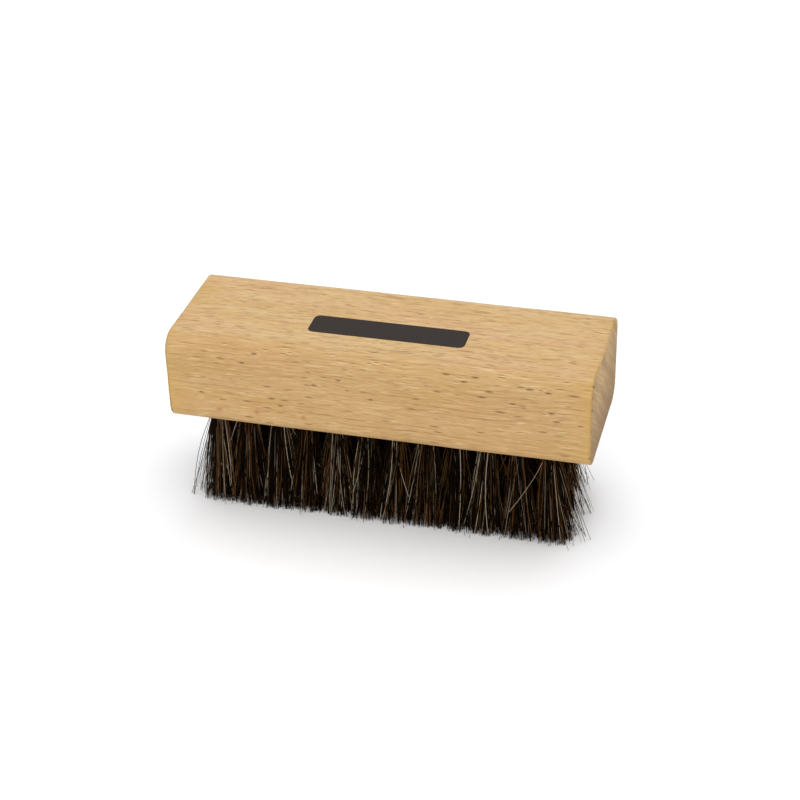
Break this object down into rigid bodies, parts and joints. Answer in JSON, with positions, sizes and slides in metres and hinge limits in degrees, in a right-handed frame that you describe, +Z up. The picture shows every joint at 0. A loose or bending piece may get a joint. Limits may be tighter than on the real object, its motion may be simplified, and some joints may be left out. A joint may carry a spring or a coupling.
{
  "type": "leather cleaning brush",
  "caption": "Block brush for leather: a solid beech block with rounded long edges, filled from below with splayed tufts of dark horsehair trimmed flat.",
  "frame": {"origin": "under the middle of the block, on the plane of the trimmed bristle tips", "axes": "+X along the block to its right end as pictured, -Y to the front, +Z up from the tips to the block's top"},
  "size_m": [0.12, 0.042, 0.055],
  "materials": {
    "beech": "fine sanded, clear oiled",
    "horsehair": "natural hair, dark brown with lighter hairs among it, satin"
  },
  "bodies": {
    "root": {"block": "beech", "tuft_row1_01": "horsehair", "tuft_row1_02": "horsehair", "tuft_row1_03": "horsehair", "tuft_row1_04": "horsehair", "tuft_row1_05": "horsehair", "tuft_row1_06": "horsehair", "tuft_row1_07": "horsehair", "tuft_row1_08": "horsehair", "tuft_row1_09": "horsehair", "tuft_row1_10": "horsehair", "tuft_row1_11": "horsehair", "tuft_row1_12": "horsehair", "tuft_row2_01": "horsehair", "tuft_row2_02": "horsehair", "tuft_row2_03": "horsehair", "tuft_row2_04": "horsehair", "tuft_row2_05": "horsehair", "tuft_row2_06": "horsehair", "tuft_row2_07": "horsehair", "tuft_row2_08": "horsehair", "tuft_row2_09": "horsehair", "tuft_row2_10": "horsehair", "tuft_row2_11": "horsehair", "tuft_row2_12": "horsehair", "tuft_row3_01": "horsehair", "tuft_row3_02": "horsehair", "tuft_row3_03": "horsehair", "tuft_row3_04": "horsehair", "tuft_row3_05": "horsehair", "tuft_row3_06": "horsehair", "tuft_row3_07": "horsehair", "tuft_row3_08": "horsehair", "tuft_row3_09": "horsehair", "tuft_row3_10": "horsehair", "tuft_row3_11": "horsehair", "tuft_row3_12": "horsehair"}
  },
  "joints": []
}
